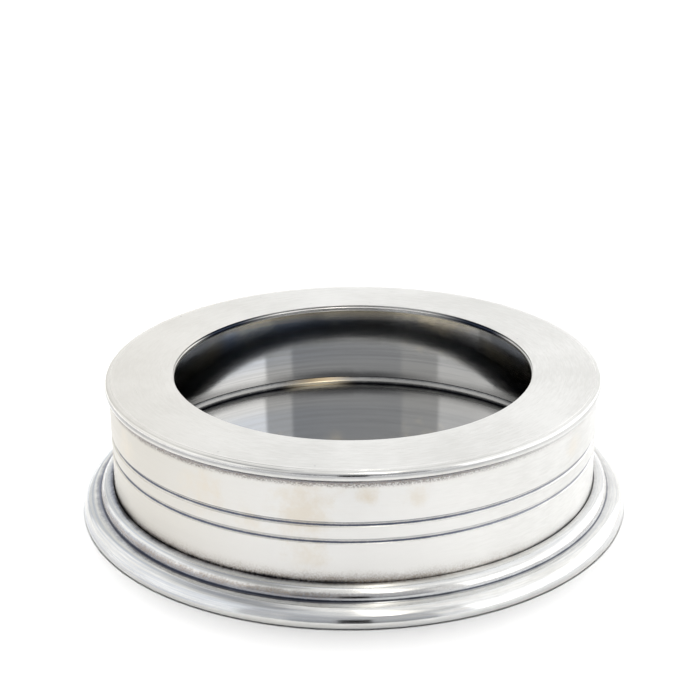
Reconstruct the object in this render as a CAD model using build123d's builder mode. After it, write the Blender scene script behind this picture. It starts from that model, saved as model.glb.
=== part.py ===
from build123d import *
from math import cos, radians, sin
import os

# Wine bottle coaster in soldered pewter, standing on z = 0 with its axis on Z, in millimetres.
# A flat rim plate laps over a grooved wall band, the band stands in a moulded foot ring,
# a floor disc lies on a ledge inside the foot, and a felt pad is glued under the floor.

# Driving dimensions of the whole
OVERALL_HEIGHT = 35.0
OPENING_DIAMETER = 90.0
WALL_DIAMETER = 122.6
WALL_THICKNESS = 1.7

# Rim plate: its top slopes off into a rounded nose, and a cove under the nose runs down to the wall
RIM_THICKNESS = 1.6
RIM_DEPTH = 3.2
SLOPE_RADIUS = 4.0
SLOPE_ANGLE = 20.0
NOSE_RADIUS = 0.72
COVE_RADIUS = 0.84
COVE_ANGLE = 69.0
OPENING_EDGE_RADIUS = 0.3

# Wall band: a pair of incised grooves round the middle of the wall
GROOVE_SPACING = 4.15
GROOVE_WIDTH = 1.25
GROOVE_DEPTH = 0.45

# Foot ring: an upper bead and a lower flange, both quarter rounds, with a flat step between them and a
# short upright land under the flange
BEAD_RADIUS = 2.85
BEAD_INNER_RADIUS = 0.7
FLANGE_RADIUS = 4.05
FLANGE_STEP = 0.45
FOOT_LAND = 0.4
FOOT_EDGE_RADIUS = 0.3
SOCKET_DEPTH = 4.0
LEDGE_WIDTH = 4.2
LIP_THICKNESS = 0.8
LIP_RISE = 1.8

# Floor disc and felt pad
FLOOR_THICKNESS = 2.4
FLOOR_EDGE_CHAMFER = 0.2
FELT_THICKNESS = 3.4
FELT_PROUD = 0.15

# Clearances
SOLDER_GAP = 0.1
FELT_GAP = 0.3

# Radii, from the wall inwards and outwards
wall_radius = WALL_DIAMETER / 2
wall_inner_radius = wall_radius - WALL_THICKNESS
tongue_radius = wall_radius - WALL_THICKNESS / 2
rim_rebate_radius = tongue_radius + SOLDER_GAP
opening_radius = OPENING_DIAMETER / 2
socket_inner_radius = wall_inner_radius - SOLDER_GAP
floor_bore_radius = socket_inner_radius - LIP_THICKNESS
floor_radius = floor_bore_radius - SOLDER_GAP
ledge_radius = floor_bore_radius - LEDGE_WIDTH
felt_radius = ledge_radius - FELT_GAP
socket_outer_radius = wall_radius + SOLDER_GAP
bead_crest_radius = socket_outer_radius + BEAD_INNER_RADIUS
bead_outer_radius = bead_crest_radius + BEAD_RADIUS
flange_crest_radius = bead_outer_radius + FLANGE_STEP
foot_radius = flange_crest_radius + FLANGE_RADIUS

# The rim's edge is worked out from the wall: up the cove, round the nose and onto the sloping top.
nose_end_radius = wall_radius + COVE_RADIUS * (1 - cos(radians(COVE_ANGLE)))
nose_center_radius = nose_end_radius - NOSE_RADIUS * cos(radians(COVE_ANGLE))
slope_start_radius = nose_center_radius - (SLOPE_RADIUS - NOSE_RADIUS) * sin(radians(SLOPE_ANGLE))

# Heights, from the table upwards
foot_bottom = FELT_PROUD
land_top = foot_bottom + FOOT_LAND
flange_top = land_top + FLANGE_RADIUS
bead_top = flange_top + BEAD_RADIUS
bead_shoulder = bead_top - BEAD_INNER_RADIUS
socket_floor = bead_top - SOCKET_DEPTH
floor_bottom = FELT_THICKNESS
floor_top = floor_bottom + FLOOR_THICKNESS
lip_top = floor_top + LIP_RISE
rim_underside = OVERALL_HEIGHT - RIM_THICKNESS
rim_seam = OVERALL_HEIGHT - RIM_DEPTH
tongue_top = rim_underside - SOLDER_GAP

# The grooves lie evenly about the middle of the wall that shows between foot and rim.
wall_middle = (bead_top + rim_seam) / 2
groove_heights = (wall_middle - GROOVE_SPACING / 2, wall_middle + GROOVE_SPACING / 2)
groove_tool_radius = (GROOVE_WIDTH**2 / 4 + GROOVE_DEPTH**2) / (2 * GROOVE_DEPTH)
groove_tool_center = wall_radius - GROOVE_DEPTH + groove_tool_radius

# Rim plate: flat annulus with a nosed and coved edge, and a rebate that drops over the band's tongue
with BuildPart() as rim_plate:
    with BuildSketch(Plane.XZ):
        with BuildLine():
            top = Line((opening_radius, OVERALL_HEIGHT), (slope_start_radius, OVERALL_HEIGHT))
            slope = JernArc(top @ 1, top % 1, SLOPE_RADIUS, -SLOPE_ANGLE)
            nose = JernArc(slope @ 1, slope % 1, NOSE_RADIUS, -(90 - SLOPE_ANGLE + COVE_ANGLE))
            cove = JernArc(nose @ 1, nose % 1, COVE_RADIUS, COVE_ANGLE)
            Polyline(
                cove @ 1,
                (wall_radius, rim_seam),
                (rim_rebate_radius, rim_seam),
                (rim_rebate_radius, rim_underside),
                (opening_radius, rim_underside),
                top @ 0,
            )
        make_face()
        opening_corners = vertices().group_by(Axis.X)[0]
        fillet(opening_corners, radius=OPENING_EDGE_RADIUS)
    revolve(axis=Axis.Z)
rim_plate.part.label = "rim_plate"

# Wall band: turned tube with a half-lap tongue at the top and two incised grooves
with BuildPart() as body_band:
    with BuildSketch(Plane.XZ):
        with BuildLine():
            Polyline(
                (wall_inner_radius, socket_floor),
                (wall_radius, socket_floor),
                (wall_radius, rim_seam),
                (tongue_radius, rim_seam),
                (tongue_radius, tongue_top),
                (wall_inner_radius, tongue_top),
                close=True,
            )
        make_face()
        with Locations(*[(groove_tool_center, height) for height in groove_heights]):
            Circle(groove_tool_radius, mode=Mode.SUBTRACT)
    revolve(axis=Axis.Z)
body_band.part.label = "body_band"

# Foot ring: bead and flange outside, a socket for the band, an inner lip and a ledge for the floor
with BuildPart() as foot_ring:
    with BuildSketch(Plane.XZ):
        with BuildLine():
            lip_radius = LIP_THICKNESS / 2
            lip_center = (floor_bore_radius + lip_radius, lip_top - lip_radius)
            base = Line((ledge_radius, foot_bottom), (foot_radius, foot_bottom))
            flange = CenterArc((flange_crest_radius, land_top), FLANGE_RADIUS, 0, 90)
            Line(base @ 1, flange @ 0)
            Line(flange @ 1, (bead_outer_radius, flange_top))
            CenterArc((bead_crest_radius, flange_top), BEAD_RADIUS, 0, 90)
            bead_inner = CenterArc((bead_crest_radius, bead_shoulder), BEAD_INNER_RADIUS, 90, 90)
            lip = CenterArc(lip_center, lip_radius, 0, 180)
            Polyline(
                bead_inner @ 1,
                (socket_outer_radius, socket_floor),
                (socket_inner_radius, socket_floor),
                lip @ 0,
            )
            Polyline(
                lip @ 1,
                (floor_bore_radius, floor_bottom),
                (ledge_radius, floor_bottom),
                base @ 0,
            )
        make_face()
        foot_corner = vertices().group_by(Axis.X)[-1].sort_by(Axis.Y)[0]
        fillet(foot_corner, radius=FOOT_EDGE_RADIUS)
    revolve(axis=Axis.Z)
foot_ring.part.label = "foot_ring"

# Floor disc: flat polished disc that drops onto the foot ring's ledge
with BuildPart() as floor_disc:
    with BuildSketch(Plane.XY.offset(floor_bottom)):
        Circle(floor_radius)
    extrude(amount=FLOOR_THICKNESS)
    floor_edge = floor_disc.edges().filter_by(GeomType.CIRCLE).sort_by(Axis.Z)[-1]
    chamfer(floor_edge, length=FLOOR_EDGE_CHAMFER)
floor_disc.part.label = "floor_disc"

# Felt pad: plain disc glued under the floor inside the ledge, a little proud of the foot
with BuildPart() as base_felt:
    with BuildSketch(Plane.XY):
        Circle(felt_radius)
    extrude(amount=FELT_THICKNESS)
base_felt.part.label = "base_felt"

os.makedirs("parts", exist_ok=True)
for piece in (rim_plate, body_band, foot_ring, floor_disc, base_felt):
    export_step(piece.part, f"parts/{piece.part.label}.step")
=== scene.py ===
from collections import namedtuple
from math import asin, cos, degrees, pi, radians, sin, tau

import bmesh
import bpy
from mathutils import Matrix, Vector


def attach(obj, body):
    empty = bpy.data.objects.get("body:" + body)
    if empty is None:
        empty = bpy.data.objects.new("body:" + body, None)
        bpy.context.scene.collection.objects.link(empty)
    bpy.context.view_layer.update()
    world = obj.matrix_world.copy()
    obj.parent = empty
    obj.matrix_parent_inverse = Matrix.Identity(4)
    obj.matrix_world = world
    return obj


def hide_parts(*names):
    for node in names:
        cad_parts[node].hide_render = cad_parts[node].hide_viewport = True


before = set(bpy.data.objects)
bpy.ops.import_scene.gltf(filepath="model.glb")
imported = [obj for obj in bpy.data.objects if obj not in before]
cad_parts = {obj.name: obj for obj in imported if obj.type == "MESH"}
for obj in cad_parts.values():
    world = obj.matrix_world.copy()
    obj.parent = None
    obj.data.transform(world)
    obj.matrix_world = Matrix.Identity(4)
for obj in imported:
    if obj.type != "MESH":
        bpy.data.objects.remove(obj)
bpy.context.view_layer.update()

# Wine bottle coaster in soldered pewter. Lengths are millimetres, and MM turns them into metres.
MM = 0.001

# Rim plate
OVERALL_HEIGHT = 35.0
OPENING_RADIUS = 45.0
RIM_THICKNESS = 1.6
RIM_DEPTH = 3.2
STEP_RADIUS = 0.10
STEP_ANGLE = 48.0
CROWN_RADIUS = 5.0
CROWN_ANGLES = (4.0, 11.0)
NOSE_EDGE_RADIUS = 0.75
NOSE_FACE_RADIUS = 2.0
NOSE_FACE_ANGLES = (68.0, 111.0)
NOSE_UNDER_RADIUS = 0.30
COVE_ANGLE = 69.0
HEM_DEPTH = 0.56
HEM_ROLL_RADIUS = 0.22
HEM_SETBACK = 0.22
HEM_EDGE_RADIUS = 0.12

# Wall band
WALL_RADIUS = 61.3
WALL_THICKNESS = 1.7
GROOVE_SPACING = 4.15
GROOVE_WIDTH = 1.25
GROOVE_DEPTH = 0.45

# Foot ring
BEAD_RADIUS = 2.85
BEAD_INNER_RADIUS = 0.7
BEAD_EDGE_RADIUS = 0.35
FLANGE_RADIUS = 4.05
FLANGE_STEP = 0.45
FOOT_LAND = 0.4
FOOT_EDGE_RADIUS = 0.3
SOCKET_DEPTH = 4.0
LEDGE_WIDTH = 4.2
LIP_THICKNESS = 0.8
LIP_RISE = 1.8
LIP_CREST = 0.10
LIP_SLOPE = 1.0

# Floor disc and felt pad
FLOOR_THICKNESS = 2.4
FLOOR_EDGE_CHAMFER = 0.2
FLOOR_EDGE_FALL = 0.15
FLOOR_CROWN = 0.42
FLOOR_CROWN_POWER = 4
FELT_THICKNESS = 3.4
FELT_PROUD = 0.15
FELT_EDGE_ROUND = 0.7
SOLDER_GAP = 0.1
FELT_GAP = 0.3

# How finely the pieces are turned: segments round the axis, and straight runs in each arc of a section
TURNED_SEGMENTS = 360
HEM_RUNS = 6
GROOVE_RUNS = 14
FOOT_EDGE_RUNS = 8
FLANGE_RUNS = 28
BEAD_RUNS = 24
FLOOR_RUNS = 24
FELT_EDGE_RUNS = 5

# Angles in degrees past which an edge is sharp, and lengths within which points count as one or as level
TURNED_SHARP_ANGLE = 28.0
FELT_SHARP_ANGLE = 60.0
MERGE_DISTANCE = 0.002
LEVEL_TOLERANCE = 0.01

# Radii, from the wall inwards and outwards
wall_inner = WALL_RADIUS - WALL_THICKNESS
tongue_radius = WALL_RADIUS - WALL_THICKNESS / 2
rebate_radius = tongue_radius + SOLDER_GAP
socket_inner = wall_inner - SOLDER_GAP
socket_outer = WALL_RADIUS + SOLDER_GAP
floor_bore = socket_inner - LIP_THICKNESS
floor_radius = floor_bore - SOLDER_GAP
ledge_radius = floor_bore - LEDGE_WIDTH
felt_radius = ledge_radius - FELT_GAP
bead_crest = socket_outer + BEAD_INNER_RADIUS
bead_outer = bead_crest + BEAD_RADIUS
flange_crest = bead_outer + FLANGE_STEP

# Heights, from the table upwards
foot_bottom = FELT_PROUD
land_top = foot_bottom + FOOT_LAND
flange_top = land_top + FLANGE_RADIUS
bead_top = flange_top + BEAD_RADIUS
socket_floor = bead_top - SOCKET_DEPTH
floor_top = FELT_THICKNESS + FLOOR_THICKNESS
lip_top = floor_top + LIP_RISE
lip_foot = lip_top - LIP_SLOPE
rim_underside = OVERALL_HEIGHT - RIM_THICKNESS
rim_seam = OVERALL_HEIGHT - RIM_DEPTH
tongue_top = rim_underside - SOLDER_GAP
wall_middle = (bead_top + rim_seam) / 2
lower_groove = wall_middle - GROOVE_SPACING / 2
upper_groove = wall_middle + GROOVE_SPACING / 2

# Arc of a section between two headings, in degrees below level, going outwards
Bend = namedtuple("Bend", "radius heading next_heading runs")


def bend_reach(bends):
    """How far outwards and how far down a chain of bends goes."""
    outwards = 0.0
    down = 0.0
    for bend in bends:
        side = 1 if bend.next_heading > bend.heading else -1
        begin = radians(bend.heading)
        end = radians(bend.next_heading)
        outwards += side * bend.radius * (sin(end) - sin(begin))
        down += side * bend.radius * (cos(begin) - cos(end))
    return outwards, down


class TurnedProfile:
    """Half section of a turned piece, drawn point by point in the XZ plane and spun about Z."""

    def __init__(self, radius, height):
        self.mesh = bmesh.new()
        self.first = self.mesh.verts.new((radius * MM, 0.0, height * MM))
        self.tip = self.first

    def line(self, radius, height, cuts=0):
        begin = self.tip.co.copy()
        end = Vector((radius * MM, 0.0, height * MM))
        for step in range(cuts + 1):
            self.tip = bmesh.ops.extrude_vert_indiv(self.mesh, verts=[self.tip])["verts"][0]
            self.tip.co = begin.lerp(end, (step + 1) / (cuts + 1))

    def arc(self, centre_radius, centre_height, clockwise, runs):
        drawn = bmesh.ops.spin(
            self.mesh,
            geom=[self.tip],
            cent=(centre_radius * MM, 0.0, centre_height * MM),
            axis=(0.0, 1.0, 0.0),
            angle=radians(clockwise),
            steps=runs,
        )
        self.tip = [part for part in drawn["geom_last"] if isinstance(part, bmesh.types.BMVert)][0]

    def bend(self, bend):
        side = 90.0 if bend.next_heading > bend.heading else -90.0
        towards = radians(bend.heading + side)
        centre_radius = self.tip.co.x / MM + bend.radius * cos(towards)
        centre_height = self.tip.co.z / MM - bend.radius * sin(towards)
        self.arc(centre_radius, centre_height, bend.next_heading - bend.heading, bend.runs)

    def close(self):
        self.mesh.edges.new((self.tip, self.first))

    def turn(self, name, material, node):
        bmesh.ops.spin(
            self.mesh,
            geom=self.mesh.verts[:] + self.mesh.edges[:],
            cent=(0.0, 0.0, 0.0),
            axis=(0.0, 0.0, 1.0),
            angle=tau,
            steps=TURNED_SEGMENTS,
            use_merge=True,
        )
        return finished_piece(self.mesh, name, material, node, TURNED_SHARP_ANGLE)


def finished_piece(mesh, name, material, node, sharp_angle):
    """Object made from a mesh, smooth but for its sharp edges and flat caps, in the place of a node."""
    bmesh.ops.remove_doubles(mesh, verts=mesh.verts[:], dist=MERGE_DISTANCE * MM)
    bmesh.ops.recalc_face_normals(mesh, faces=mesh.faces[:])
    data = bpy.data.meshes.new(name)
    mesh.to_mesh(data)
    mesh.free()
    data.set_sharp_from_angle(angle=radians(sharp_angle))
    for face in data.polygons:
        flat_cap = len(face.vertices) > 4
        face.use_smooth = not flat_cap
    data.materials.append(material)
    piece = bpy.data.objects.new(name, data)
    bpy.context.scene.collection.objects.link(piece)
    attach(piece, "root")
    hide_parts(node)
    return piece


# Places of the Mix node's sockets for values and for colours
VALUE_A, VALUE_B = 2, 3
COLOUR_A, COLOUR_B = 6, 7
COLOUR_RESULT = 2


class FinishNodes:
    """Node tree of one finish, with short calls for the nodes that the finishes share."""

    def __init__(self, name):
        self.material = bpy.data.materials.new(name)
        self.material.use_nodes = True
        self.tree = self.material.node_tree
        self.shader = self.tree.nodes["Principled BSDF"]
        self.place = self.add("TexCoord").outputs["Object"]
        axes = self.add("SeparateXYZ", {0: self.place})
        self.x, self.y, self.height = axes.outputs
        flat = self.add("CombineXYZ", {0: self.x, 1: self.y})
        self.radius = self.add("VectorMath", {0: flat.outputs[0]}, operation="LENGTH").outputs["Value"]

    def add(self, kind, sockets=None, **settings):
        node = self.tree.nodes.new("ShaderNode" + kind)
        for setting, value in settings.items():
            setattr(node, setting, value)
        for socket, value in (sockets or {}).items():
            self.feed(node.inputs[socket], value)
        return node

    def feed(self, socket, value):
        if isinstance(value, bpy.types.NodeSocket):
            self.tree.links.new(value, socket)
        else:
            socket.default_value = value

    def math(self, operation, first, second=0.0):
        return self.add("Math", {0: first, 1: second}, operation=operation).outputs[0]

    def both(self, first, second):
        return self.math("MULTIPLY", first, second)

    def remap(self, value, low, high, to_low=0.0, to_high=1.0):
        sockets = {"Value": value, "From Min": low, "From Max": high, "To Min": to_low, "To Max": to_high}
        return self.add("MapRange", sockets, interpolation_type="SMOOTHSTEP").outputs[0]

    def fade(self, value, begin, end, first=0.0, last=1.0):
        """Share that goes smoothly from its first to its last level between two lengths in millimetres."""
        return self.remap(value, begin * MM, end * MM, first, last)

    def noise(self, vector, scale=1.0, detail=3.0, rough=0.55):
        sockets = {"Vector": vector, "Scale": scale, "Detail": detail, "Roughness": rough}
        return self.add("TexNoise", sockets).outputs[0]

    def blend(self, share, first, second):
        sockets = {"Factor": share, COLOUR_A: first, COLOUR_B: second}
        return self.add("Mix", sockets, data_type="RGBA").outputs[COLOUR_RESULT]

    def between(self, share, first, second):
        return self.add("Mix", {"Factor": share, VALUE_A: first, VALUE_B: second}).outputs[0]


# Colours of clean pewter, some of them laid as painted sheen and painted shade
SATIN_PEWTER = (0.640, 0.636, 0.614, 1.0)
PALE_PEWTER = (0.755, 0.752, 0.734, 1.0)
WARM_PEWTER = (0.600, 0.572, 0.515, 1.0)
# Pale pewter laid as painted sheen: a painted reflection of the floor on the wall, a painted highlight on
# the hem, and the pale ground of the rim's underside
PAINTED_SHEEN_PEWTER = (0.830, 0.822, 0.800, 1.0)
BLUE_PEWTER = (0.480, 0.510, 0.565, 1.0)
INNER_PEWTER = (0.568, 0.566, 0.558, 1.0)
# Bluish dark pewter laid as painted shade in the well
SHADE_BLUE_PEWTER = (0.450, 0.485, 0.545, 1.0)
# Dark pewter laid as painted shade on the lip in the well
LIP_SHADE_PEWTER = (0.330, 0.328, 0.320, 1.0)
DEEP_PEWTER = (0.400, 0.402, 0.405, 1.0)

# Colours of solder, stains, tarnish and patina, and of painted glints and painted shade
# Painted golden glint, laid high in the well and on the solder
GOLD_GLINT = (1.000, 0.890, 0.680, 1.0)
SOLDER_GOLD = (0.260, 0.212, 0.145, 1.0)
PEACH_STAIN = (0.715, 0.655, 0.560, 1.0)
OLIVE_TARNISH = (0.680, 0.585, 0.410, 1.0)
# Blue laid as painted shade high on the well's front
COOL_SHADE_BLUE = (0.390, 0.475, 0.640, 1.0)
# Dark laid as painted shade in the well and at the floor's edge
DARK_SHADE = (0.085, 0.088, 0.095, 1.0)
# Near-black laid as painted shade on the hem and on the rim's underside
BLACK_SHADE = (0.026, 0.035, 0.058, 1.0)
BROWN_SMEAR = (0.310, 0.235, 0.165, 1.0)
# Slate patina, also laid as painted shade on the rim's nose and in its cove
SLATE_PATINA_AND_SHADE = (0.080, 0.092, 0.135, 1.0)
BLACK_PATINA = (0.018, 0.020, 0.032, 1.0)

# Colours of the felt
FELT_SHADE = (0.020, 0.021, 0.020, 1.0)
FELT_WOOL = (0.062, 0.064, 0.060, 1.0)
FELT_LINT = (0.20, 0.20, 0.19, 1.0)

# Patterns that follow the turning tool: how fine they are across its lines and along them, per metre
TURNING_LINES = (3200.0, 34.0)
TURNING_DASHES = (1900.0, 300.0)
TURNING_RIPPLE = (420.0, 30.0)
TURNING_STREAKS = (800.0, 11.0)

# Patterns that run no particular way: how fine they are, per metre
METAL_GRAIN = 1700.0
METAL_DRIFT = 210.0
METAL_CLOUDS = 38.0
RIM_NICKS = 520.0
PATINA_SPECKS = 2600.0
RAGGED_PATCHES = 190.0
FELT_FIBRES = 2600.0
FELT_MATS = 320.0
FELT_LINT_FLECKS = 1500.0

# How far the turning lines make the metal smoother and rougher, and the dashes' share in its mottling
LINE_SMOOTHER = 0.05
LINE_ROUGHER = 0.06
DASH_SHARE = 0.55

# Levels of noise between which tone, roughness and specks change, and how much patina is left between specks
TONE_NOISE = (0.75, 1.25)
LINE_NOISE = (0.3, 0.7)
SPECK_NOISE = (0.36, 0.62)
SPECK_LEAST = 0.15

# Radii within the wall's metal, between which a finish changes from the outer face to the inner one
CORE_OUTER = WALL_RADIUS - 0.9
CORE_INNER = WALL_RADIUS - 1.1

# Short run of solder in the floor's seam, left of the middle at the back, with a painted golden glint
SOLDER_MIDDLE = -10.0
SOLDER_HALF_RUN = 12.0
SOLDER_HALF_CORE = 1.0

# Patina, and in some rings painted shade, along a ring-shaped crevice: full within its core, gone past its
# fade, with an edge that wobbles
PatinaOrShade = namedtuple("PatinaOrShade", "radius height core fade wobble speckled strength colour")
WOBBLE_GAIN = 4.0

# Soft stain on the wall, also used for painted glints: bearing from the front in degrees, height, half width
# and half height
StainOrGlint = namedtuple("StainOrGlint", "bearing height half_width half_height strength")
PATCH_RAGGEDNESS = 2.6
PATCH_FADE = (2.45, 1.15)


class PewterFinish(FinishNodes):
    """Turned pewter. Colour, roughness and relief are laid on in turn, then joined to the shader."""

    def __init__(self, name, roughness, line_depth, ripple_depth):
        super().__init__(name)
        lines = self.along_turning(TURNING_LINES, detail=4.0, rough=0.7)
        self.streaks = self.along_turning(TURNING_STREAKS, detail=5.0, rough=0.7)
        self.grain = self.noise(self.place, METAL_GRAIN, detail=4.0, rough=0.7)
        self.drift = self.noise(self.place, METAL_DRIFT, detail=3.0, rough=0.6)
        dashes = self.along_turning(TURNING_DASHES, detail=2.0, rough=0.55)
        ripple = self.along_turning(TURNING_RIPPLE, detail=3.0, rough=0.6)
        mottle = self.between(DASH_SHARE, lines, dashes)
        cloudy = self.math("ADD", mottle, self.noise(self.place, METAL_CLOUDS))
        self.colour = self.blend(self.remap(cloudy, *TONE_NOISE), SATIN_PEWTER, PALE_PEWTER)
        smoother = roughness - LINE_SMOOTHER
        rougher = roughness + LINE_ROUGHER
        self.roughness = self.remap(lines, *LINE_NOISE, smoother, rougher)
        self.relief = self.math("ADD", self.both(lines, line_depth), self.both(ripple, ripple_depth))

    def along_turning(self, fineness, detail, rough):
        """Noise drawn out along the lines that the turning tool leaves."""
        across, along = fineness
        run = self.both(self.math("SUBTRACT", self.radius, self.height), across)
        sockets = {0: self.both(self.x, along), 1: self.both(self.y, along), 2: run}
        return self.noise(self.add("CombineXYZ", sockets).outputs[0], detail=detail, rough=rough)

    def lay(self, share, colour=None, roughness=None):
        """Lays another colour or roughness over a share of the surface."""
        if colour:
            self.colour = self.blend(share, self.colour, colour)
        if roughness:
            self.roughness = self.between(share, self.roughness, roughness)

    def lay_patina_or_shade(self, rings, hold=None):
        """Patina, and in some rings painted shade, in the crevices, thinner where less of it has held."""
        section = self.add("CombineXYZ", {0: self.radius, 2: self.height}).outputs[0]
        spatter = self.math("SUBTRACT", self.between(0.5, self.grain, self.drift), 0.5)
        flecks = self.noise(self.place, PATINA_SPECKS, detail=3.0, rough=0.7)
        specks = self.remap(flecks, *SPECK_NOISE, SPECK_LEAST, 1.0)
        for ring in rings:
            corner = (ring.radius * MM, 0.0, ring.height * MM)
            away = self.add("VectorMath", {0: section, 1: corner}, operation="DISTANCE").outputs["Value"]
            wander = self.both(spatter, ring.wobble * WOBBLE_GAIN * MM)
            share = self.fade(self.math("ADD", away, wander), ring.fade, ring.core)
            if ring.speckled:
                share = self.both(share, specks)
            strength = self.both(hold, ring.strength) if hold else ring.strength
            self.lay(self.both(share, strength), ring.colour)

    def stain_or_glint(self, stains_or_glints, colour, face):
        """Ragged stains, and painted glints, on one face of the wall, which is unrolled from the front for
        them.
        """
        bearing = self.math("ARCTAN2", self.x, self.math("MULTIPLY", self.y, -1.0))
        around = self.both(bearing, WALL_RADIUS * MM)
        unrolled = self.add("CombineXYZ", {0: around, 2: self.height}).outputs[0]
        patches = self.noise(self.place, RAGGED_PATCHES, detail=5.0, rough=0.7)
        ragged = self.both(patches, PATCH_RAGGEDNESS)
        for stain_or_glint in stains_or_glints:
            middle = (radians(stain_or_glint.bearing) * WALL_RADIUS * MM, 0.0, stain_or_glint.height * MM)
            offset = self.add("VectorMath", {0: unrolled, 1: middle}, operation="SUBTRACT").outputs[0]
            shrink = (1.0 / (stain_or_glint.half_width * MM), 1.0, 1.0 / (stain_or_glint.half_height * MM))
            spread = self.add("VectorMath", {0: offset, 1: shrink}, operation="MULTIPLY").outputs[0]
            away = self.add("VectorMath", {0: spread}, operation="LENGTH").outputs["Value"]
            share = self.remap(self.math("ADD", away, ragged), *PATCH_FADE)
            self.lay(self.both(self.both(share, stain_or_glint.strength), face), colour)

    def off_centre(self):
        return self.math("ABSOLUTE", self.x)

    def inside(self):
        return self.fade(self.radius, CORE_OUTER, CORE_INNER)

    def outside(self):
        return self.fade(self.radius, CORE_INNER, CORE_OUTER)

    def crevice_hold(self):
        """The black line between wall and foot has held best at the left."""
        return self.fade(self.x, -14.0, 2.0, 1.0, 0.25)

    def solder_glint_run(self):
        """1 in the middle of the run of solder, where a golden glint is painted, fading towards its ends."""
        aside = self.math("ABSOLUTE", self.math("SUBTRACT", self.x, SOLDER_MIDDLE * MM))
        at_back = self.both(self.inside(), self.fade(self.y, 20.0, 40.0))
        return self.both(self.fade(aside, SOLDER_HALF_RUN, SOLDER_HALF_CORE), at_back)

    def clear_of(self, solder_and_glint):
        """Patina hardly holds on the solder, and painted shade is thinned there too."""
        return self.remap(solder_and_glint, 0.0, 1.0, 1.0, 0.15)

    def finished(self, anisotropy):
        shader = self.shader
        shader.inputs["Metallic"].default_value = 1.0
        shader.inputs["Anisotropic"].default_value = anisotropy
        shader.inputs["Anisotropic Rotation"].default_value = 0.25
        around = self.add("Tangent", direction_type="RADIAL", axis="Z")
        bump = self.add("Bump", {"Strength": 1.0, "Distance": MM, "Height": self.relief})
        self.feed(shader.inputs["Base Color"], self.colour)
        self.feed(shader.inputs["Roughness"], self.roughness)
        self.feed(shader.inputs["Tangent"], around.outputs[0])
        self.feed(shader.inputs["Normal"], bump.outputs[0])
        return self.material


# Painted dark reflection on the nose, painted shade in the cove, and a brown smear at the seam
RIM_SHADE_AND_SMEAR = [
    PatinaOrShade(WALL_RADIUS + 0.90, rim_seam + 2.10, 0.10, 0.65, 0.15, False, 0.38, SLATE_PATINA_AND_SHADE),
    PatinaOrShade(WALL_RADIUS + 0.05, rim_seam + 0.25, 0.50, 1.20, 0.25, False, 0.70, SLATE_PATINA_AND_SHADE),
    PatinaOrShade(WALL_RADIUS, rim_seam, 0.05, 0.80, 0.40, True, 0.55, BROWN_SMEAR),
]
SEAM_PATINA = [
    PatinaOrShade(WALL_RADIUS, rim_seam + 0.3, 0.35, 1.30, 0.45, True, 0.85, SLATE_PATINA_AND_SHADE),
    PatinaOrShade(WALL_RADIUS, rim_seam, 0.05, 1.40, 0.50, True, 0.45, BROWN_SMEAR),
]
CREVICE_PATINA = [
    PatinaOrShade(socket_outer + 0.05, bead_top - 0.45, 0.30, 1.00, 0.60, False, 0.97, BLACK_PATINA),
]
CORNER_LINES = [
    PatinaOrShade(socket_outer, bead_top - 0.30, 0.12, 0.50, 0.25, False, 0.38, SLATE_PATINA_AND_SHADE),
    PatinaOrShade(bead_outer, flange_top, 0.05, 0.42, 0.15, False, 0.75, SLATE_PATINA_AND_SHADE),
]
# Dark slate lines in the grooves and along their upper edges
GROOVE_DARK_LINES = [
    PatinaOrShade(WALL_RADIUS - GROOVE_DEPTH, upper_groove - 0.15, 0.10, 0.40, 0.10, False, 0.97, SLATE_PATINA_AND_SHADE),
    PatinaOrShade(WALL_RADIUS, upper_groove + GROOVE_WIDTH / 2, 0.00, 0.28, 0.05, False, 0.80, SLATE_PATINA_AND_SHADE),
    PatinaOrShade(WALL_RADIUS - GROOVE_DEPTH, lower_groove - 0.24, 0.12, 0.40, 0.10, False, 0.97, SLATE_PATINA_AND_SHADE),
    PatinaOrShade(WALL_RADIUS, lower_groove + GROOVE_WIDTH / 2, 0.00, 0.30, 0.05, False, 0.35, SLATE_PATINA_AND_SHADE),
]
WALL_SMEARS = [
    PatinaOrShade(WALL_RADIUS, bead_top, 0.10, 3.60, 1.10, True, 0.42, BROWN_SMEAR),
    PatinaOrShade(WALL_RADIUS, bead_top, 0.10, 1.50, 0.80, True, 0.62, BROWN_SMEAR),
]
# Painted shade in the corner between the well's wall and the lip
WELL_CORNER_SHADE = [
    PatinaOrShade(wall_inner, lip_top, 0.40, 3.00, 0.50, False, 0.80, DARK_SHADE),
]
FOOT_PATINA = [
    PatinaOrShade(bead_outer - 0.1, flange_top + 0.60, 0.50, 1.80, 0.60, False, 0.45, SLATE_PATINA_AND_SHADE),
    PatinaOrShade(bead_outer + 0.2, flange_top + 0.10, 0.20, 1.60, 0.45, False, 0.55, SLATE_PATINA_AND_SHADE),
    PatinaOrShade(bead_outer - 0.1, flange_top + 1.30, 0.05, 1.20, 0.50, True, 0.65, BROWN_SMEAR),
    PatinaOrShade(socket_outer + 0.20, bead_top - 0.20, 0.35, 1.60, 0.50, False, 0.75, SLATE_PATINA_AND_SHADE),
]
# Black joint between lip and floor, and painted shade on the lip's crest
LIP_JOINT_AND_SHADE = [
    PatinaOrShade(floor_bore, floor_top, 0.10, 0.75, 0.40, False, 0.92, BLACK_PATINA),
    PatinaOrShade(socket_inner, lip_top, 0.15, 0.75, 0.30, False, 0.85, DARK_SHADE),
]
# Painted shade at the floor's edge
FLOOR_EDGE_SHADE = [
    PatinaOrShade(floor_radius, floor_top, 0.40, 2.40, 0.50, False, 0.85, DARK_SHADE),
]

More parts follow.
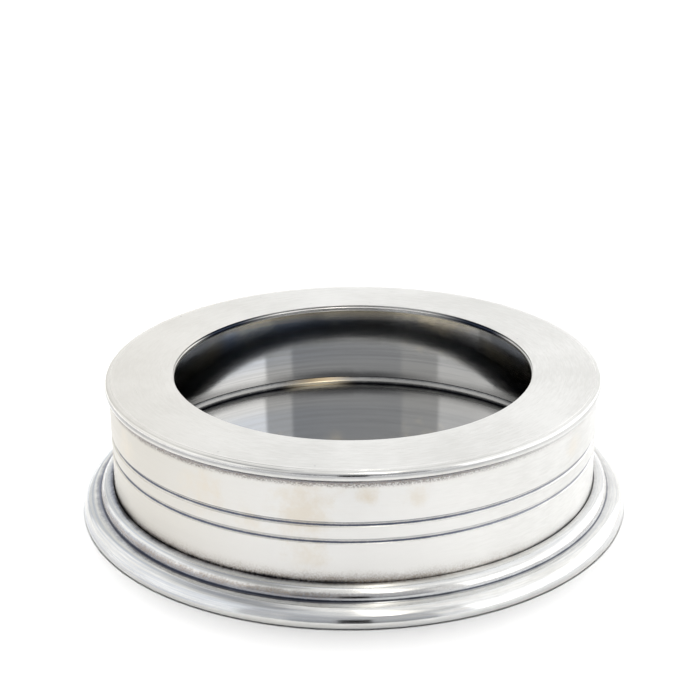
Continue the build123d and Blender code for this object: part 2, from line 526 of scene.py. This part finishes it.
WALL_STAINS = [
    StainOrGlint(-10.0, 25.0, 9.0, 9.0, 0.80),
    StainOrGlint(-34.0, 25.0, 7.0, 6.5, 0.80),
    StainOrGlint(-23.0, 21.0, 4.0, 4.5, 0.60),
    StainOrGlint(-9.0, 14.0, 6.0, 5.0, 0.60),
    StainOrGlint(3.0, 28.5, 3.0, 3.0, 0.90),
    StainOrGlint(13.0, 28.0, 4.0, 3.0, 0.60),
    StainOrGlint(-62.0, 26.0, 6.0, 5.0, 0.60),
    StainOrGlint(-78.0, 15.0, 5.0, 4.0, 0.50),
    StainOrGlint(58.0, 27.0, 5.0, 3.5, 0.40),
    StainOrGlint(96.0, 20.0, 7.0, 6.0, 0.60),
    StainOrGlint(128.0, 13.0, 5.0, 4.0, 0.50),
    StainOrGlint(155.0, 26.0, 6.0, 4.5, 0.65),
    StainOrGlint(-118.0, 24.0, 7.0, 6.0, 0.70),
    StainOrGlint(-150.0, 14.0, 6.0, 4.5, 0.50),
]
# Painted golden glints high on the well's wall
WELL_GLINTS = [
    StainOrGlint(157.0, 28.0, 13.0, 9.0, 1.00),
    StainOrGlint(-153.0, 26.5, 8.5, 9.0, 0.75),
    StainOrGlint(-174.0, 27.5, 4.0, 5.0, 0.45),
]


def rim_finish():
    """Satin top with a polished edge and a few nicks, a painted highlight in the hem's middle, and painted
    shade on the hem's back corners, on the underside and in the cove.
    """
    rim = PewterFinish("rim_satin_pewter", roughness=0.32, line_depth=0.0010, ripple_depth=0.0006)
    off_centre = rim.off_centre()
    warm_left = rim.fade(rim.x, -10.0, -60.0, 0.0, 0.45)
    rim.lay(warm_left, WARM_PEWTER)
    nicks = rim.remap(rim.noise(rim.place, RIM_NICKS, detail=1.0), 0.79, 0.81)
    rim.lay(rim.both(nicks, 0.25), SLATE_PATINA_AND_SHADE)
    polished_edge = rim.fade(rim.radius, WALL_RADIUS - 1.2, WALL_RADIUS - 0.9)
    rim.lay(polished_edge, roughness=0.13)

    hem_edge = rim.fade(rim.radius, OPENING_RADIUS + 0.50, OPENING_RADIUS + 0.35)
    hem = rim.both(hem_edge, rim.fade(rim.height, OVERALL_HEIGHT - 0.08, OVERALL_HEIGHT - 0.24))
    # Painted shade on the hem at its back corners
    shaded_back_corners = rim.both(rim.fade(off_centre, 18.0, 32.0), rim.fade(rim.y, 16.0, 26.0))
    rim.lay(rim.both(hem, shaded_back_corners), BLACK_SHADE, 0.30)
    # Painted highlight on the hem in the middle
    highlit_hem_middle = rim.fade(off_centre, 24.0, 14.0)
    rim.lay(rim.both(hem, highlit_hem_middle), PAINTED_SHEEN_PEWTER, 0.20)

    # Underside over the well: laid pale and rough, then darkened with painted shade, except a strip by the
    # opening that is narrow in the middle and wider at the sides
    over_well = rim.fade(rim.radius, WALL_RADIUS - 0.6, WALL_RADIUS - 0.8)
    underside = rim.both(rim.fade(rim.height, rim_underside + 0.35, rim_underside + 0.10), over_well)
    rim.lay(underside, PAINTED_SHEEN_PEWTER, 0.30)
    shade_in_middle = rim.fade(rim.radius, OPENING_RADIUS + 0.2, OPENING_RADIUS + 1.2)
    shade_at_sides = rim.fade(rim.radius, OPENING_RADIUS + 1.0, OPENING_RADIUS + 7.0)
    underside_shade = rim.between(rim.fade(off_centre, 12.0, 36.0), shade_in_middle, shade_at_sides)
    rim.lay(rim.both(underside, underside_shade), BLACK_SHADE, 0.42)
    # Painted dark reflection and shade on the rim's edge, with its smear, less towards the right
    rim.lay_patina_or_shade(RIM_SHADE_AND_SMEAR, hold=rim.fade(rim.x, 15.0, 55.0, 1.0, 0.30))
    return rim.finished(anisotropy=0.35)


def band_finish():
    """Brushed wall with warm stains, dark crevices and a painted reflection of the floor outside, and a
    dimmer, tarnished face in the well with painted shade and painted glints.
    """
    band = PewterFinish("band_satin_pewter", roughness=0.34, line_depth=0.0015, ripple_depth=0.0010)
    # Painted reflection of the bright floor: the wall is laid pale, most low down, at the front and away
    # from the right
    floor_reflection = band.fade(band.height, 19.4, 9.4, 0.78, 1.0)
    floor_reflection = band.both(floor_reflection, band.fade(band.y, -10.0, 40.0, 1.0, 0.15))
    floor_reflection = band.both(floor_reflection, band.fade(band.x, 8.0, 52.0, 1.0, 0.12))
    band.lay(floor_reflection, PAINTED_SHEEN_PEWTER)
    warm_left = band.fade(band.x, -8.0, -58.0, 0.0, 0.85)
    band.lay(warm_left, WARM_PEWTER)
    band.stain_or_glint(WALL_STAINS, PEACH_STAIN, band.outside())

    inside = band.inside()
    band.lay(inside, INNER_PEWTER, 0.045)
    # Painted shade: a dark bluish band at mid height in the well, strongest on the left
    middle_zone = band.both(band.fade(band.height, 10.0, 15.0), band.fade(band.height, 28.0, 24.0))
    dark_band_shade = band.both(middle_zone, band.fade(band.x, 10.0, -34.0, 0.15, 0.70))
    band.lay(band.both(inside, dark_band_shade), SHADE_BLUE_PEWTER)
    streaky = band.remap(band.streaks, 0.44, 0.64, 0.0, 0.5)
    band.lay(band.both(inside, streaky), DEEP_PEWTER, 0.065)
    wander = band.both(band.math("SUBTRACT", band.streaks, 0.5), 7.0 * MM)
    ragged_height = band.math("ADD", band.height, wander)
    tarnished_top = band.fade(ragged_height, 24.0, 30.0)
    band.lay(band.both(inside, tarnished_top), OLIVE_TARNISH, 0.24)
    # Painted shade high on the well's front, grey on the left and blue on the right
    cool_shade = band.blend(band.fade(band.x, -15.0, 25.0), DEEP_PEWTER, COOL_SHADE_BLUE)
    shaded_front = band.both(band.fade(ragged_height, 22.0, 28.0), band.fade(band.y, 25.0, 8.0))
    band.lay(band.both(inside, shaded_front), cool_shade)
    # Painted golden glints high in the well
    band.stain_or_glint(WELL_GLINTS, GOLD_GLINT, inside)
    # Painted shade above the lip, strongest in the middle
    band.lay_patina_or_shade(WELL_CORNER_SHADE, hold=band.fade(band.off_centre(), 5.0, 26.0, 1.0, 0.30))

    held_at_left = band.fade(band.x, 5.0, 50.0, 1.0, 0.15)
    held_in_front = band.fade(band.y, 10.0, -50.0, 0.35, 1.0)
    band.lay_patina_or_shade(WALL_SMEARS, hold=band.both(held_at_left, held_in_front))
    band.lay_patina_or_shade(SEAM_PATINA, hold=band.fade(band.x, 10.0, 50.0, 1.0, 0.15))
    band.lay_patina_or_shade(CORNER_LINES)
    band.lay_patina_or_shade(CREVICE_PATINA, hold=band.crevice_hold())
    band.lay_patina_or_shade(GROOVE_DARK_LINES, hold=band.fade(band.x, 15.0, 58.0, 1.0, 0.75))
    return band.finished(anisotropy=0.60)


def foot_finish():
    """Bright cast foot, a little wavy, with blue streaks, slate in its steps, and a dull lip in the well
    laid dark as painted shade, with a painted golden glint on its solder.
    """
    foot = PewterFinish("foot_bright_pewter", roughness=0.10, line_depth=0.0006, ripple_depth=0.0450)
    bluer_left = foot.fade(foot.x, 10.0, -55.0, 0.35, 0.95)
    blue_streaks = foot.both(foot.remap(foot.streaks, 0.42, 0.64), bluer_left)
    foot.lay(blue_streaks, BLUE_PEWTER, 0.19)
    # Painted shade: the lip in the well laid dark
    foot.lay(foot.inside(), LIP_SHADE_PEWTER, 0.23)
    foot.lay_patina_or_shade(FOOT_PATINA, hold=foot.fade(foot.x, -12.0, 10.0, 1.0, 0.25))
    foot.lay_patina_or_shade(CORNER_LINES)
    foot.lay_patina_or_shade(CREVICE_PATINA, hold=foot.crevice_hold())
    solder_and_glint = foot.solder_glint_run()
    # Joint and painted shade on the lip, thinned along the solder
    foot.lay_patina_or_shade(LIP_JOINT_AND_SHADE, hold=foot.clear_of(solder_and_glint))
    foot.lay(solder_and_glint, SOLDER_GOLD, 0.24)
    # Painted golden highlight on the solder below the lip's slope
    below_slope = foot.fade(foot.height, lip_foot + 0.3, lip_foot - 0.1)
    foot.lay(foot.both(solder_and_glint, below_slope), GOLD_GLINT)
    return foot.finished(anisotropy=0.20)


def floor_finish():
    """Polished floor with faint turning rings, cloudy wear, and a dull edge darkened with painted shade."""
    floor = PewterFinish("floor_polished_pewter", roughness=0.06, line_depth=0.0001, ripple_depth=0.0006)
    cloudy_wear = floor.remap(floor.drift, 0.30, 0.75, 1.0, 0.88)
    floor.lay(cloudy_wear, INNER_PEWTER)
    dull_edge = floor.fade(floor.radius, 50.0, 57.0)
    floor.lay(dull_edge, roughness=0.30)
    # Painted shade at the floor's edge, thinned along the solder
    floor.lay_patina_or_shade(FLOOR_EDGE_SHADE, hold=floor.clear_of(floor.solder_glint_run()))
    return floor.finished(anisotropy=0.10)


def felt_finish():
    """Dark wool felt: matted fibres, a little lint and a soft sheen."""
    wool = FinishNodes("dark_wool_felt")
    fibres = wool.noise(wool.place, FELT_FIBRES, detail=5.0, rough=0.75)
    mats = wool.noise(wool.place, FELT_MATS, detail=4.0, rough=0.6)
    lint = wool.remap(wool.noise(wool.place, FELT_LINT_FLECKS, detail=2.0), 0.68, 0.76)
    tone = wool.remap(wool.math("ADD", wool.both(fibres, 0.6), mats), 0.5, 1.1)
    colour = wool.blend(tone, FELT_SHADE, FELT_WOOL)
    colour = wool.blend(wool.both(lint, 0.5), colour, FELT_LINT)
    wool.feed(wool.shader.inputs["Base Color"], colour)
    wool.shader.inputs["Roughness"].default_value = 0.95
    wool.shader.inputs["Sheen Weight"].default_value = 0.4
    wool.shader.inputs["Sheen Roughness"].default_value = 0.5
    nap = wool.math("ADD", fibres, wool.both(mats, 1.5))
    bump = wool.add("Bump", {"Strength": 1.0, "Distance": 0.25 * MM, "Height": nap})
    wool.feed(wool.shader.inputs["Normal"], bump.outputs[0])
    return wool.material


def turn_rim_plate(material):
    """Flat top with a hem round the opening, and a fine step, a full nose and a cove at its outer edge."""
    crown_top, crown_foot = CROWN_ANGLES
    face_top, face_foot = NOSE_FACE_ANGLES
    under_turn = 90.0 + COVE_ANGLE
    edge_bends = [
        Bend(STEP_RADIUS, 0.0, STEP_ANGLE, 4),
        Bend(STEP_RADIUS, STEP_ANGLE, crown_top, 4),
        Bend(CROWN_RADIUS, crown_top, crown_foot, 8),
        Bend(NOSE_EDGE_RADIUS, crown_foot, face_top, 6),
        Bend(NOSE_FACE_RADIUS, face_top, face_foot, 6),
        Bend(NOSE_UNDER_RADIUS, face_foot, under_turn, 8),
    ]
    _, nose_drop = bend_reach(edge_bends)
    cove_radius = (RIM_DEPTH - nose_drop) / sin(radians(COVE_ANGLE))
    edge_bends.append(Bend(cove_radius, under_turn, 90.0, 12))
    edge_width, _ = bend_reach(edge_bends)
    hem_height = OVERALL_HEIGHT - HEM_DEPTH
    top_edge_height = OVERALL_HEIGHT - HEM_EDGE_RADIUS
    profile = TurnedProfile(OPENING_RADIUS, rim_underside + HEM_ROLL_RADIUS)
    profile.line(OPENING_RADIUS, hem_height - HEM_ROLL_RADIUS, cuts=1)
    profile.arc(OPENING_RADIUS + HEM_ROLL_RADIUS, hem_height - HEM_ROLL_RADIUS, 90.0, HEM_RUNS)
    profile.line(OPENING_RADIUS + HEM_SETBACK, top_edge_height, cuts=1)
    profile.arc(OPENING_RADIUS + HEM_SETBACK + HEM_EDGE_RADIUS, top_edge_height, 90.0, HEM_RUNS)
    profile.line(WALL_RADIUS - edge_width, OVERALL_HEIGHT, cuts=5)
    for bend in edge_bends:
        profile.bend(bend)
    profile.line(rebate_radius, rim_seam)
    profile.line(rebate_radius, rim_underside)
    profile.line(OPENING_RADIUS + HEM_ROLL_RADIUS, rim_underside, cuts=4)
    profile.arc(OPENING_RADIUS + HEM_ROLL_RADIUS, rim_underside + HEM_ROLL_RADIUS, 90.0, HEM_RUNS)
    profile.close()
    return profile.turn("rim_plate_turned", material, "rim_plate")


def turn_body_band(material):
    """Tube with two incised grooves outside and a half-lap tongue at the top."""
    tool_radius = (GROOVE_WIDTH**2 / 4 + GROOVE_DEPTH**2) / (2 * GROOVE_DEPTH)
    tool_centre = WALL_RADIUS - GROOVE_DEPTH + tool_radius
    groove_turn = 2 * degrees(asin(GROOVE_WIDTH / 2 / tool_radius))
    profile = TurnedProfile(wall_inner, socket_floor)
    profile.line(WALL_RADIUS, socket_floor)
    for height in (lower_groove, upper_groove):
        profile.line(WALL_RADIUS, height - GROOVE_WIDTH / 2, cuts=2)
        profile.arc(tool_centre, height, groove_turn, GROOVE_RUNS)
    profile.line(WALL_RADIUS, rim_seam, cuts=2)
    profile.line(tongue_radius, rim_seam)
    profile.line(tongue_radius, tongue_top)
    profile.line(wall_inner, tongue_top)
    profile.close()
    return profile.turn("body_band_turned", material, "body_band")


def turn_foot_ring(material):
    """Flange and bead outside, the wall's socket, a sloping lip in the well and a ledge for the floor."""
    foot_radius = flange_crest + FLANGE_RADIUS
    fillet_centre = foot_radius - FOOT_EDGE_RADIUS
    bead_edge_centre = socket_outer + BEAD_EDGE_RADIUS
    profile = TurnedProfile(ledge_radius, foot_bottom)
    profile.line(fillet_centre, foot_bottom, cuts=3)
    profile.arc(fillet_centre, foot_bottom + FOOT_EDGE_RADIUS, -90.0, FOOT_EDGE_RUNS)
    profile.line(foot_radius, land_top)
    profile.arc(flange_crest, land_top, -90.0, FLANGE_RUNS)
    profile.line(bead_outer, flange_top)
    profile.arc(bead_crest, flange_top, -90.0, BEAD_RUNS)
    profile.line(bead_edge_centre, bead_top)
    profile.arc(bead_edge_centre, bead_top - BEAD_EDGE_RADIUS, -90.0, FOOT_EDGE_RUNS)
    profile.line(socket_outer, socket_floor)
    profile.line(socket_inner, socket_floor)
    profile.line(socket_inner, lip_top - LIP_CREST)
    profile.line(socket_inner - LIP_CREST, lip_top)
    profile.line(floor_bore, lip_foot, cuts=2)
    profile.line(floor_bore, FELT_THICKNESS)
    profile.line(ledge_radius, FELT_THICKNESS)
    profile.close()
    return profile.turn("foot_ring_turned", material, "foot_ring")


def turn_floor_disc(material):
    """Polished floor, a little crowned in the middle and falling away towards its edge."""
    edge_top = floor_top - FLOOR_EDGE_FALL
    polished_radius = floor_radius - FLOOR_EDGE_CHAMFER
    crown_top = floor_top + FLOOR_CROWN
    profile = TurnedProfile(0.0, FELT_THICKNESS)
    profile.line(floor_radius, FELT_THICKNESS)
    profile.line(floor_radius, edge_top - FLOOR_EDGE_CHAMFER)
    for step in range(FLOOR_RUNS, -1, -1):
        share = step / FLOOR_RUNS
        fall = (FLOOR_CROWN + FLOOR_EDGE_FALL) * share**FLOOR_CROWN_POWER
        profile.line(polished_radius * share, crown_top - fall)
    return profile.turn("floor_disc_polished", material, "floor_disc")


def make_base_felt(material):
    """Round pad with a soft lower edge, cut from a flat sheet."""
    mesh = bmesh.new()
    bmesh.ops.create_circle(mesh, cap_ends=True, segments=TURNED_SEGMENTS, radius=felt_radius * MM)
    raised = bmesh.ops.extrude_face_region(mesh, geom=mesh.faces[:], use_keep_orig=True)
    upper = [part for part in raised["geom"] if isinstance(part, bmesh.types.BMVert)]
    bmesh.ops.translate(mesh, verts=upper, vec=(0.0, 0.0, FELT_THICKNESS * MM))
    lower_edges = [
        edge for edge in mesh.edges
        if all(abs(vert.co.z) < LEVEL_TOLERANCE * MM for vert in edge.verts)
    ]
    bmesh.ops.bevel(
        mesh, geom=lower_edges, offset=FELT_EDGE_ROUND * MM, offset_type="OFFSET",
        affect="EDGES", segments=FELT_EDGE_RUNS, profile=0.5, material=-1,
    )
    felt = finished_piece(mesh, "base_felt_pad", material, "base_felt", FELT_SHARP_ANGLE)
    return felt


turn_rim_plate(rim_finish())
turn_body_band(band_finish())
turn_foot_ring(foot_finish())
turn_floor_disc(floor_finish())
make_base_felt(felt_finish())

# Camera at the photograph's view: angles in degrees, lens and sensor in millimetres, lengths in metres
CAMERA_PITCH = 21.367
CAMERA_YAW = -0.099
CAMERA_ROLL = 0.525
CAMERA_LENS = 82.98
CAMERA_SENSOR = 36.0
CAMERA_NEAR = 0.01
CAMERA_PLACE = (0.0, -0.3783, 0.18725)

# Stage in metres: a pale floor that glows white far from the coaster, and a dark card in front of it
FLOOR_SIDE = 8.0
FLOOR_WHITE = (0.90, 0.90, 0.90, 1.0)
PURE_WHITE = (1.0, 1.0, 1.0, 1.0)
GLOW_BEGIN = 0.25
GLOW_END = 0.55
GLOW_STRENGTH = 1.1
CARD_BLACK = (0.01, 0.01, 0.01, 1.0)
CARD_WIDTH = 0.076
CARD_HEIGHT = 0.125
CARD_DISTANCE = 0.37
STAGE_ROUGHNESS = 0.9

# Softbox that lights the floor from straight above: metres, watts, and the spread of its light in degrees
Wash = namedtuple("Wash", "name place size power spread")
WASHES = [
    Wash("floor_wash", (0.0, 0.22, 1.0), (0.45, 0.7), 15.0, 180.0),
    Wash("far_wash", (0.0, 1.10, 1.0), (1.8, 0.9), 7.2, 60.0),
]

# Screen of light that the metal mirrors. Its azimuths, elevations and soft edges are in degrees.
Screen = namedtuple("Screen", "name level azimuths elevations softness from_back tint")
NEUTRAL = (1.0, 1.0, 1.0)
CREAM = (1.0, 1.0, 0.98)
BLUE_SHADE = (0.985, 1.0, 1.03)
LAMP_GLOW = (1.03, 1.00, 0.94)
STUDIO_LEVEL = 0.92
BACKDROP_STRENGTH = 1.2
SCREENS = [
    Screen("far", 1.22, (-70.0, 70.0), (-20.0, 40.0), (14.0, 14.0), True, NEUTRAL),
    Screen("far_left", 0.92, (-95.0, -18.0), (-20.0, 52.0), (16.0, 12.0), True, CREAM),
    Screen("overhead", 1.15, (-180.0, 180.0), (72.0, 120.0), (8.0, 8.0), False, NEUTRAL),
    Screen("near", 0.64, (-70.0, 70.0), (-20.0, 42.0), (7.0, 6.0), False, BLUE_SHADE),
    Screen("near_low", 0.42, (-44.0, 42.0), (-20.0, 9.0), (8.0, 8.0), False, BLUE_SHADE),
    Screen("left_edge", 0.78, (-60.0, -26.0), (-20.0, 40.0), (1.5, 6.0), False, NEUTRAL),
    Screen("left", 1.25, (-135.0, -46.0), (-20.0, 44.0), (1.5, 6.0), False, NEUTRAL),
    Screen("left_low", 1.40, (-90.0, -70.0), (-20.0, 24.0), (7.0, 9.0), False, NEUTRAL),
    Screen("right_edge", 1.05, (32.5, 60.0), (-20.0, 36.0), (1.5, 5.0), False, NEUTRAL),
    Screen("right", 2.10, (47.0, 140.0), (-20.0, 38.0), (1.5, 7.0), False, NEUTRAL),
    Screen("left_high", 0.52, (-130.0, -40.0), (54.0, 76.0), (8.0, 8.0), False, BLUE_SHADE),
    Screen("right_high", 1.30, (50.0, 150.0), (32.0, 66.0), (6.0, 8.0), False, NEUTRAL),
    Screen("lamp", 1.70, (2.0, 34.0), (48.0, 84.0), (7.0, 7.0), False, LAMP_GLOW),
    Screen("lamp_middle", 4.20, (9.0, 22.0), (44.0, 88.0), (4.0, 7.0), False, LAMP_GLOW),
]


def pale_floor_surface():
    """Pale floor that fades into the white of the studio away from the coaster."""
    surface = FinishNodes("pale_floor")
    surface.shader.inputs["Base Color"].default_value = FLOOR_WHITE
    surface.shader.inputs["Roughness"].default_value = STAGE_ROUGHNESS
    surface.shader.inputs["Emission Color"].default_value = PURE_WHITE
    glow = surface.remap(surface.radius, GLOW_BEGIN, GLOW_END, 0.0, GLOW_STRENGTH)
    surface.feed(surface.shader.inputs["Emission Strength"], glow)
    return surface.material


def card_surface():
    material = bpy.data.materials.new("card_black")
    material.use_nodes = True
    shader = material.node_tree.nodes["Principled BSDF"]
    shader.inputs["Base Color"].default_value = CARD_BLACK
    shader.inputs["Roughness"].default_value = STAGE_ROUGHNESS
    return material


def stage_plane(name, width, depth, material, place):
    mesh = bmesh.new()
    bmesh.ops.create_grid(mesh, x_segments=1, y_segments=1, size=0.5)
    bmesh.ops.scale(mesh, vec=(width, depth, 1.0), verts=mesh.verts[:])
    bmesh.ops.transform(mesh, matrix=place, verts=mesh.verts[:])
    data = bpy.data.meshes.new(name)
    mesh.to_mesh(data)
    mesh.free()
    data.materials.append(material)
    plane = bpy.data.objects.new(name, data)
    bpy.context.scene.collection.objects.link(plane)
    return plane


def set_stage():
    """Pale floor, and a dark card that only the metal mirrors."""
    stage_plane("pale_floor", FLOOR_SIDE, FLOOR_SIDE, pale_floor_surface(), Matrix.Identity(4))
    standing = Matrix.Translation((0.0, -CARD_DISTANCE, CARD_HEIGHT / 2)) @ Matrix.Rotation(pi / 2, 4, "X")
    dark_card = stage_plane("dark_card", CARD_WIDTH, CARD_HEIGHT, card_surface(), standing)
    dark_card.visible_camera = False
    dark_card.visible_diffuse = False
    dark_card.visible_shadow = False


def set_camera():
    """The photograph's view: a slightly raised camera in front of the coaster."""
    pitch, yaw, roll = radians(CAMERA_PITCH), radians(CAMERA_YAW), radians(CAMERA_ROLL)
    forward = Vector((sin(yaw) * cos(pitch), cos(yaw) * cos(pitch), -sin(pitch)))
    right = Vector((cos(yaw), -sin(yaw), 0.0))
    up = right.cross(forward)
    rolled_right = cos(roll) * right - sin(roll) * up
    rolled_up = sin(roll) * right + cos(roll) * up
    data = bpy.data.cameras.new("photo_camera")
    data.sensor_width = CAMERA_SENSOR
    data.lens = CAMERA_LENS
    data.clip_start = CAMERA_NEAR
    camera = bpy.data.objects.new("photo_camera", data)
    turned = Matrix((rolled_right, rolled_up, -forward)).transposed().to_4x4()
    camera.matrix_world = Matrix.Translation(CAMERA_PLACE) @ turned
    bpy.context.scene.collection.objects.link(camera)
    bpy.context.scene.camera = camera


class StudioWorld:
    """Soft studio that the metal mirrors, hung with screens of light. The camera sees plain white."""

    def __init__(self, level):
        self.world = bpy.data.worlds.new("studio")
        bpy.context.scene.world = self.world
        self.world.use_nodes = True
        self.nodes = self.world.node_tree.nodes
        self.links = self.world.node_tree.links
        towards = self.nodes.new("ShaderNodeTexCoord").outputs["Generated"]
        axes = self.nodes.new("ShaderNodeSeparateXYZ")
        self.links.new(towards, axes.inputs[0])
        x, y, z = axes.outputs
        self.from_front = self.math("ARCTAN2", x, self.math("MULTIPLY", y, -1.0))
        self.from_back = self.math("ARCTAN2", x, y)
        self.elevation = self.math("ARCSINE", z)
        self.tone = (level, level, level, 1.0)

    def feed(self, socket, value):
        if isinstance(value, bpy.types.NodeSocket):
            self.links.new(value, socket)
        else:
            socket.default_value = value

    def math(self, operation, first, second=0.0):
        node = self.nodes.new("ShaderNodeMath")
        node.operation = operation
        for socket, value in zip(node.inputs, (first, second)):
            self.feed(socket, value)
        return node.outputs[0]

    def edge(self, angle, outer, inner):
        node = self.nodes.new("ShaderNodeMapRange")
        node.interpolation_type = "SMOOTHSTEP"
        self.feed(node.inputs["Value"], angle)
        self.feed(node.inputs["From Min"], radians(outer))
        self.feed(node.inputs["From Max"], radians(inner))
        return node.outputs[0]

    def span(self, angle, ends, soft):
        low, high = ends
        rise = self.edge(angle, low - soft, low + soft)
        fall = self.edge(angle, high + soft, high - soft)
        return self.math("MULTIPLY", rise, fall)

    def hang(self, screen):
        around = self.from_back if screen.from_back else self.from_front
        soft_sideways, soft_upwards = screen.softness
        sideways = self.span(around, screen.azimuths, soft_sideways)
        upwards = self.span(self.elevation, screen.elevations, soft_upwards)
        mix = self.nodes.new("ShaderNodeMix")
        mix.label = screen.name
        mix.data_type = "RGBA"
        self.feed(mix.inputs["Factor"], self.math("MULTIPLY", sideways, upwards))
        self.feed(mix.inputs[COLOUR_A], self.tone)
        self.feed(mix.inputs[COLOUR_B], tuple(screen.level * channel for channel in screen.tint) + (1.0,))
        self.tone = mix.outputs[COLOUR_RESULT]

    def light(self):
        shown = self.nodes["Background"]
        shown.inputs["Color"].default_value = PURE_WHITE
        shown.inputs["Strength"].default_value = BACKDROP_STRENGTH
        studio = self.nodes.new("ShaderNodeBackground")
        self.feed(studio.inputs["Color"], self.tone)
        path = self.nodes.new("ShaderNodeLightPath")
        choice = self.nodes.new("ShaderNodeMixShader")
        self.links.new(path.outputs["Is Camera Ray"], choice.inputs[0])
        self.links.new(studio.outputs[0], choice.inputs[1])
        self.links.new(shown.outputs[0], choice.inputs[2])
        self.links.new(choice.outputs[0], self.nodes["World Output"].inputs["Surface"])
        self.world.cycles_visibility.diffuse = False


def set_studio():
    studio = StudioWorld(STUDIO_LEVEL)
    for screen in SCREENS:
        studio.hang(screen)
    studio.light()


def add_wash(wash):
    data = bpy.data.lights.new(wash.name, "AREA")
    data.shape = "RECTANGLE"
    data.size, data.size_y = wash.size
    data.energy = wash.power
    data.spread = radians(wash.spread)
    light = bpy.data.objects.new(wash.name, data)
    aim = Vector((0.0, 0.0, -1.0)).to_track_quat("-Z", "Y")
    light.matrix_world = Matrix.Translation(wash.place) @ aim.to_matrix().to_4x4()
    light.visible_glossy = False
    bpy.context.scene.collection.objects.link(light)


set_camera()
set_studio()
set_stage()
for wash in WASHES:
    add_wash(wash)
bpy.context.scene.view_settings.view_transform = "Standard"
